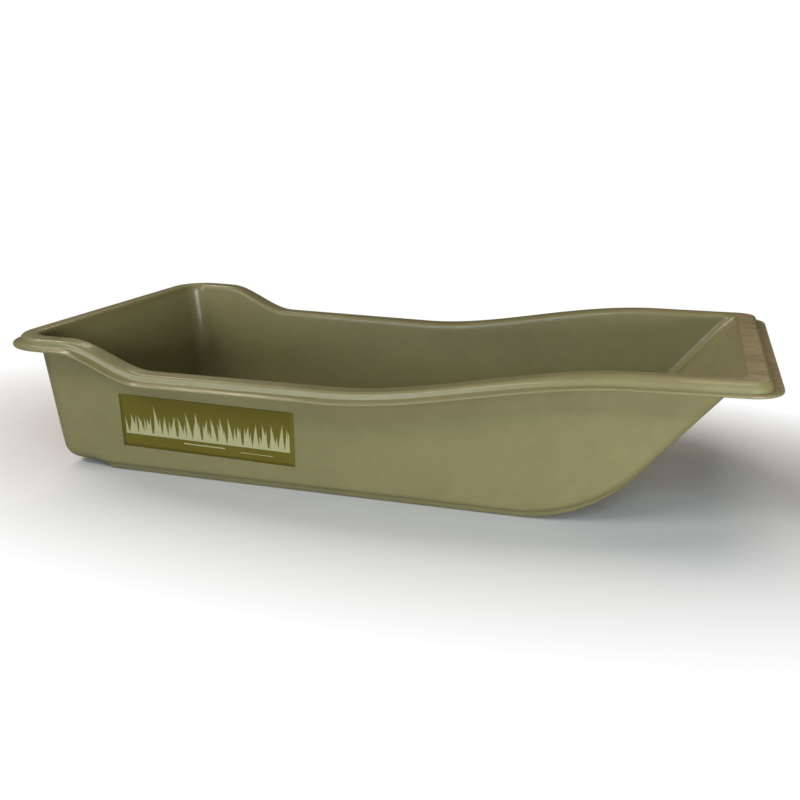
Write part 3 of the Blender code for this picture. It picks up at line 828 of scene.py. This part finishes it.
def blades_group():
    """Mask of a row of leaning grass blades in a flat print, in the print's own metres."""
    inputs = {
        "Spacing": 0.013, "Ground": 0.03, "Tallest": 0.06, "Width": 0.4, "Lean": 0.8, "Seed": 0.0
    }
    tree, given, out = new_group("Printed blades", inputs, ["Mask"])
    flat = axes(tree, given["Vector"])
    across = maths(tree, "DIVIDE", flat["X"], given["Spacing"])
    shifted = maths(tree, "ADD", across, given["Seed"])
    cell = maths(tree, "FLOOR", shifted)
    inside = maths(tree, "FRACT", shifted)
    chance = add_node(
        tree, "ShaderNodeTexWhiteNoise",
        {"W": maths(tree, "MULTIPLY_ADD", given["Seed"], SEED_STEP, cell)}, noise_dimensions="1D",
    )
    parts = add_node(tree, "ShaderNodeSeparateColor", {"Color": chance.outputs["Color"]}).outputs
    above = maths(tree, "SUBTRACT", flat["Y"], given["Ground"])
    chosen = maths(tree, "MULTIPLY_ADD", parts[0], 0.5, 0.5)
    tall = maths(tree, "MULTIPLY", given["Tallest"], chosen)
    climb = maths(tree, "DIVIDE", above, tall)
    lean = maths(tree, "MULTIPLY", maths(tree, "SUBTRACT", parts[1], 0.5), given["Lean"])
    bend = product(tree, lean, climb, climb)
    middle = maths(tree, "ADD", bend, 0.5)
    half = maths(tree, "MULTIPLY", given["Width"], maths(tree, "SUBTRACT", 1.0, climb))
    away = maths(tree, "ABSOLUTE", maths(tree, "SUBTRACT", inside, middle))
    within = maths(tree, "SUBTRACT", half, away)
    body = maths(tree, "MULTIPLY", within, BLADE_CRISPNESS, clamped=True)
    started = maths(tree, "GREATER_THAN", climb, 0.0)
    tree.links.new(maths(tree, "MULTIPLY", body, started), out["Mask"])
    return tree


GROUPS = {
    "Colour drift": colour_drift_group,
    "Sheet ripple": sheet_ripple_group,
    "Handling marks": handling_group,
    "Draw marks": land_sheen_and_streaks_group,
    "Printed blades": blades_group,
}


def use_group(tree, name, **inputs):
    """A shared group's outputs, with its inputs filled. Underscores stand for spaces."""
    shared = bpy.data.node_groups.get(name) or GROUPS[name]()
    filled = {key.replace("_", " "): value for key, value in inputs.items()}
    return add_node(tree, "ShaderNodeGroup", filled, node_tree=shared).outputs


def new_material(name):
    material = bpy.data.materials.new(name)
    material.use_nodes = True
    tree = material.node_tree
    return material, tree, tree.nodes["Principled BSDF"]


def add_relief(tree, shader, height):
    """Bump from a height in metres."""
    bump = add_node(tree, "ShaderNodeBump", {"Height": height, "Distance": 1.0, "Strength": 1.0})
    tree.links.new(bump.outputs["Normal"], shader.inputs["Normal"])


def moulded_plastic(finish):
    """Satin polyethylene: drifting olive tan, orange peel, slow waves, faint rubs, and a pink sheen
    painted on the rim's upward-facing land.
    """
    material, tree, shader = new_material("Moulded olive-tan polyethylene")
    sources = add_node(tree, "ShaderNodeTexCoord").outputs
    place = sources["Object"]
    base = (*finish.plastic, 1.0)
    for drift, size in ((finish.drift, DRIFT_SIZE), (finish.mottle, MOTTLE_SIZE)):
        base = use_group(
            tree, "Colour drift", Vector=place, Colour=base, Drift=drift, Size=size
        )["Colour"]
    rubs = use_group(tree, "Handling marks", Vector=place)["Mask"]
    pale = mix(tree, maths(tree, "MULTIPLY", rubs, RUB_PALENESS), base, (*finish.rub, 1.0))
    # Painted pink sheen on the upward-facing land, laid over the land's real streaks
    drawn = use_group(
        tree, "Draw marks", Vector=place, Facing=sources["Normal"], Start=finish.sheen_and_streaks_start
    )
    sheen_and_streak_pink = maths(tree, "MULTIPLY", drawn["Area"], LAND_SHEEN_SHARE)
    sheen_and_streak_pink = maths(tree, "MULTIPLY_ADD", drawn["Streaks"], STREAK_PINK_SHARE, sheen_and_streak_pink)
    pink = mix(tree, sheen_and_streak_pink, pale, (*finish.sheen_and_streak_pink, 1.0))
    tree.links.new(pink, shader.inputs["Base Color"])
    gloss = noise(tree, place, GLOSS_SIZE, detail=5.0, roughness=0.7)
    gloss = maths(tree, "SUBTRACT", gloss, 0.5)
    rough = maths(tree, "MULTIPLY_ADD", gloss, GLOSS_SWING, finish.plastic_roughness)
    rough = maths(tree, "MULTIPLY_ADD", rubs, RUB_DULLING, rough)
    tree.links.new(rough, shader.inputs["Roughness"])
    ripple = use_group(
        tree, "Sheet ripple", Vector=place, Peel_depth=finish.peel, Grain_depth=0.000012
    )["Height"]
    ripple = maths(tree, "MULTIPLY_ADD", drawn["Streaks"], STREAK_DEPTH, ripple)
    add_relief(tree, shader, ripple)
    shader.inputs["IOR"].default_value = 1.5
    shader.inputs["Coat Weight"].default_value = 0.35
    shader.inputs["Coat Roughness"].default_value = 0.19
    return material


def label_film(finish, sizes):
    """Dark olive film with grass, a ground line and two bars printed in pale ink."""
    material, tree, shader = new_material("Printed olive label film")
    place = add_node(tree, "ShaderNodeTexCoord").outputs["Object"]
    print_map = add_node(tree, "ShaderNodeUVMap", uv_map="Print").outputs["UV"]
    olive = (*finish.film, 1.0)
    film = use_group(tree, "Colour drift", Vector=place, Colour=olive, Size=0.06)["Colour"]
    flat = axes(tree, print_map)
    grass = band(tree, flat["Y"], GROUND_FOOT, GROUND_TOP, PRINT_SOFT)
    for closeness, tallest, width, lean, seed in BLADE_ROWS:
        row = use_group(
            tree, "Printed blades", Vector=print_map, Ground=BLADE_FOOT, Tallest=tallest,
            Spacing=closeness * sizes.length / sizes.blades, Width=width, Lean=lean, Seed=seed,
        )["Mask"]
        grass = maths(tree, "MAXIMUM", grass, row)
    across = band(tree, flat["X"], PRINT_MARGIN, sizes.length - PRINT_MARGIN, MARGIN_SOFT)
    ink = maths(tree, "MULTIPLY", grass, across)
    for start, end, foot, top in BARS:
        along = band(tree, flat["X"], start, end, PRINT_SOFT)
        bar = maths(tree, "MULTIPLY", along, band(tree, flat["Y"], foot, top, PRINT_SOFT))
        ink = maths(tree, "MAXIMUM", ink, bar)
    printed = mix(tree, maths(tree, "MULTIPLY", ink, INK_COVER), film, (*finish.ink, 1.0))
    tree.links.new(printed, shader.inputs["Base Color"])
    rough = maths(tree, "MULTIPLY_ADD", ink, INK_SMOOTHING, FILM_ROUGHNESS)
    tree.links.new(rough, shader.inputs["Roughness"])
    shader.inputs["Specular IOR Level"].default_value = 0.2
    peel = finish.peel * FILM_PEEL
    ripple = use_group(
        tree, "Sheet ripple", Vector=place, Peel_depth=peel, Grain_depth=0.000004
    )["Height"]
    add_relief(tree, shader, ripple)
    return material


class SLED_OT_tub(bpy.types.Operator):
    """Moulds the tub: floor, runners, walls, raked bow and stepped rim in one sheet"""

    bl_idname = "sled.make_tub"
    bl_label = "Tub"

    def execute(self, context):
        tub = Tub(context.scene.sled_sizes)
        material = moulded_plastic(context.scene.sled_finish)
        piece = new_piece("moulded_tub", tub.sheet(), material, "hull")
        skin = piece.modifiers.new("Sheet thickness", "SOLIDIFY")
        skin.thickness = tub.s.sheet
        skin.offset = -1.0
        skin.use_even_offset = True
        skin.edge_crease_rim = 0.6
        smooth = piece.modifiers.new("Smooth form", "SUBSURF")
        smooth.levels = smooth.render_levels = 1
        return {"FINISHED"}


class SLED_OT_label(bpy.types.Operator):
    """Cuts the adhesive label and lays it on the outside of the near wall"""

    bl_idname = "sled.make_label"
    bl_label = "Side label"

    def execute(self, context):
        sizes = context.scene.sled_label
        tub = Tub(context.scene.sled_sizes)
        bm = bmesh.new()
        bmesh.ops.create_grid(bm, x_segments=44, y_segments=14, size=0.5)
        bmesh.ops.scale(bm, vec=(sizes.length, sizes.height, 1.0), verts=bm.verts)
        corners = [vert for vert in bm.verts if len(vert.link_faces) == 1]
        bmesh.ops.bevel(
            bm, geom=corners, offset=sizes.corner, segments=4, profile=0.5, affect="VERTICES",
            material=-1,
        )
        print_map = bm.loops.layers.uv.new("Print")
        for face in bm.faces:
            for loop in face.loops:
                flat = loop.vert.co
                loop[print_map].uv = (flat.x + sizes.length / 2, flat.y + sizes.height / 2)
        outside = tub.s.sheet / cos(atan(tub.s.side_draft)) + sizes.gap
        for vert in bm.verts:
            along, down = vert.co.x + sizes.length / 2, sizes.height / 2 - vert.co.y
            x = tub.stern + sizes.from_stern + along * cos(sizes.tilt) - down * sin(sizes.tilt)
            z = sizes.top - along * sin(sizes.tilt) - down * cos(sizes.tilt)
            vert.co = (x, -(tub.wall(x, z) + outside), z)
        bmesh.ops.recalc_face_normals(bm, faces=bm.faces)
        if bm.faces[:][0].normal.y > 0:
            bmesh.ops.reverse_faces(bm, faces=bm.faces)
        material = label_film(context.scene.sled_finish, sizes)
        piece = new_piece("printed_label", bm, material, "side_label")
        film = piece.modifiers.new("Film thickness", "SOLIDIFY")
        film.thickness = sizes.film
        film.offset = 1.0
        return {"FINISHED"}


def add_lamp(name, level, size, place, target, tint, mirrored):
    """A card of light that faces its target and that the camera doesn't see."""
    lamp = bpy.data.lights.new(name, "AREA")
    lamp.shape = "RECTANGLE"
    lamp.size, lamp.size_y = size
    lamp.energy = level
    lamp.color = tint
    holder = bpy.data.objects.new(name, lamp)
    holder.location = place
    aim = Vector(target) - Vector(place)
    holder.rotation_euler = aim.to_track_quat("-Z", "Y").to_euler()
    holder.visible_camera = False
    holder.visible_glossy = mirrored
    bpy.context.scene.collection.objects.link(holder)


def floor_paint():
    """Pale floor that keeps the sled's shadow and turns white for the camera further off."""
    material, tree, shader = new_material("Pale studio floor")
    shader.inputs["Roughness"].default_value = 0.9
    shader.inputs["Specular IOR Level"].default_value = 0.1
    place = add_node(tree, "ShaderNodeTexCoord").outputs["Object"]
    oval = stretched(tree, place, FADE_OVAL)
    away = add_node(tree, "ShaderNodeVectorMath", {0: oval}, operation="LENGTH").outputs["Value"]
    fade = remap(tree, away, FADE_START, FADE_END)
    seen = add_node(tree, "ShaderNodeLightPath").outputs["Is Camera Ray"]
    paint = mix(tree, seen, FLOOR_LIT, FLOOR_SEEN)
    tree.links.new(paint, shader.inputs["Base Color"])
    white = add_node(tree, "ShaderNodeEmission", {"Strength": 1.0})
    blend = add_node(
        tree, "ShaderNodeMixShader",
        {0: maths(tree, "MULTIPLY", fade, seen), 1: shader.outputs[0], 2: white.outputs[0]},
    )
    tree.links.new(blend.outputs[0], tree.nodes["Material Output"].inputs["Surface"])
    return material


class SLED_OT_studio(bpy.types.Operator):
    """Lays a plain pale floor, hangs soft lamps and sets the camera at the photograph's angle"""

    bl_idname = "sled.make_studio"
    bl_label = "Studio"

    def execute(self, context):
        scene, studio = context.scene, context.scene.sled_studio
        bm = bmesh.new()
        bmesh.ops.create_circle(bm, cap_ends=True, segments=96, radius=studio.floor_size / 2)
        bmesh.ops.translate(bm, vec=(0.0, 0.0, -FLOOR_GAP), verts=bm.verts)
        new_object("studio_floor", bm, floor_paint())

        world = bpy.data.worlds.new("Studio")
        world.use_nodes = True
        scene.world = world
        tree = world.node_tree
        background = tree.nodes["Background"]
        seen = add_node(tree, "ShaderNodeLightPath").outputs["Is Camera Ray"]
        tree.links.new(mix(tree, seen, SKY_TINT, WHITE), background.inputs["Color"])
        strength = {"Value": seen, "To Min": studio.world_level, "To Max": 1.0}
        level = add_node(tree, "ShaderNodeMapRange", strength).outputs[0]
        tree.links.new(level, background.inputs["Strength"])

        for name, setting, *rest in LAMPS:
            add_lamp(name, getattr(studio, setting), *rest)

        camera = bpy.data.objects.new("Camera", bpy.data.cameras.new("Camera"))
        scene.collection.objects.link(camera)
        camera.data.lens = studio.lens
        camera.data.clip_start = 0.01
        camera.location = studio.camera_place
        ahead = Vector((
            sin(studio.yaw) * cos(studio.pitch),
            cos(studio.yaw) * cos(studio.pitch),
            -sin(studio.pitch),
        ))
        camera.rotation_euler = ahead.to_track_quat("-Z", "Y").to_euler()
        scene.camera = camera
        scene.view_settings.view_transform = "Standard"
        return {"FINISHED"}


class SLED_PT_panel(bpy.types.Panel):
    """Sizes, finish and the makers of the sled's pieces"""

    bl_idname = "SLED_PT_panel"
    bl_label = "Sport sled"
    bl_space_type = "VIEW_3D"
    bl_region_type = "UI"
    bl_category = "Sled"

    def draw(self, context):
        layout, scene = self.layout, context.scene
        for maker in MAKERS:
            layout.operator(maker.bl_idname)
        for group in (scene.sled_sizes, scene.sled_label, scene.sled_finish, scene.sled_studio):
            box = layout.box()
            for name in group.__annotations__:
                box.prop(group, name)


SETTINGS = {
    "sled_sizes": SledSizes, "sled_label": LabelSizes, "sled_finish": SledFinish,
    "sled_studio": StudioSettings,
}
MAKERS = (SLED_OT_tub, SLED_OT_label, SLED_OT_studio)


def register():
    for cls in (*SETTINGS.values(), *MAKERS, SLED_PT_panel):
        bpy.utils.register_class(cls)
    for name, cls in SETTINGS.items():
        setattr(bpy.types.Scene, name, PointerProperty(type=cls))


def unregister():
    for name in SETTINGS:
        delattr(bpy.types.Scene, name)
    for cls in reversed((*SETTINGS.values(), *MAKERS, SLED_PT_panel)):
        bpy.utils.unregister_class(cls)


def main():
    register()
    bpy.ops.sled.make_tub()
    bpy.ops.sled.make_label()
    bpy.ops.sled.make_studio()


if __name__ == "__main__":
    main()
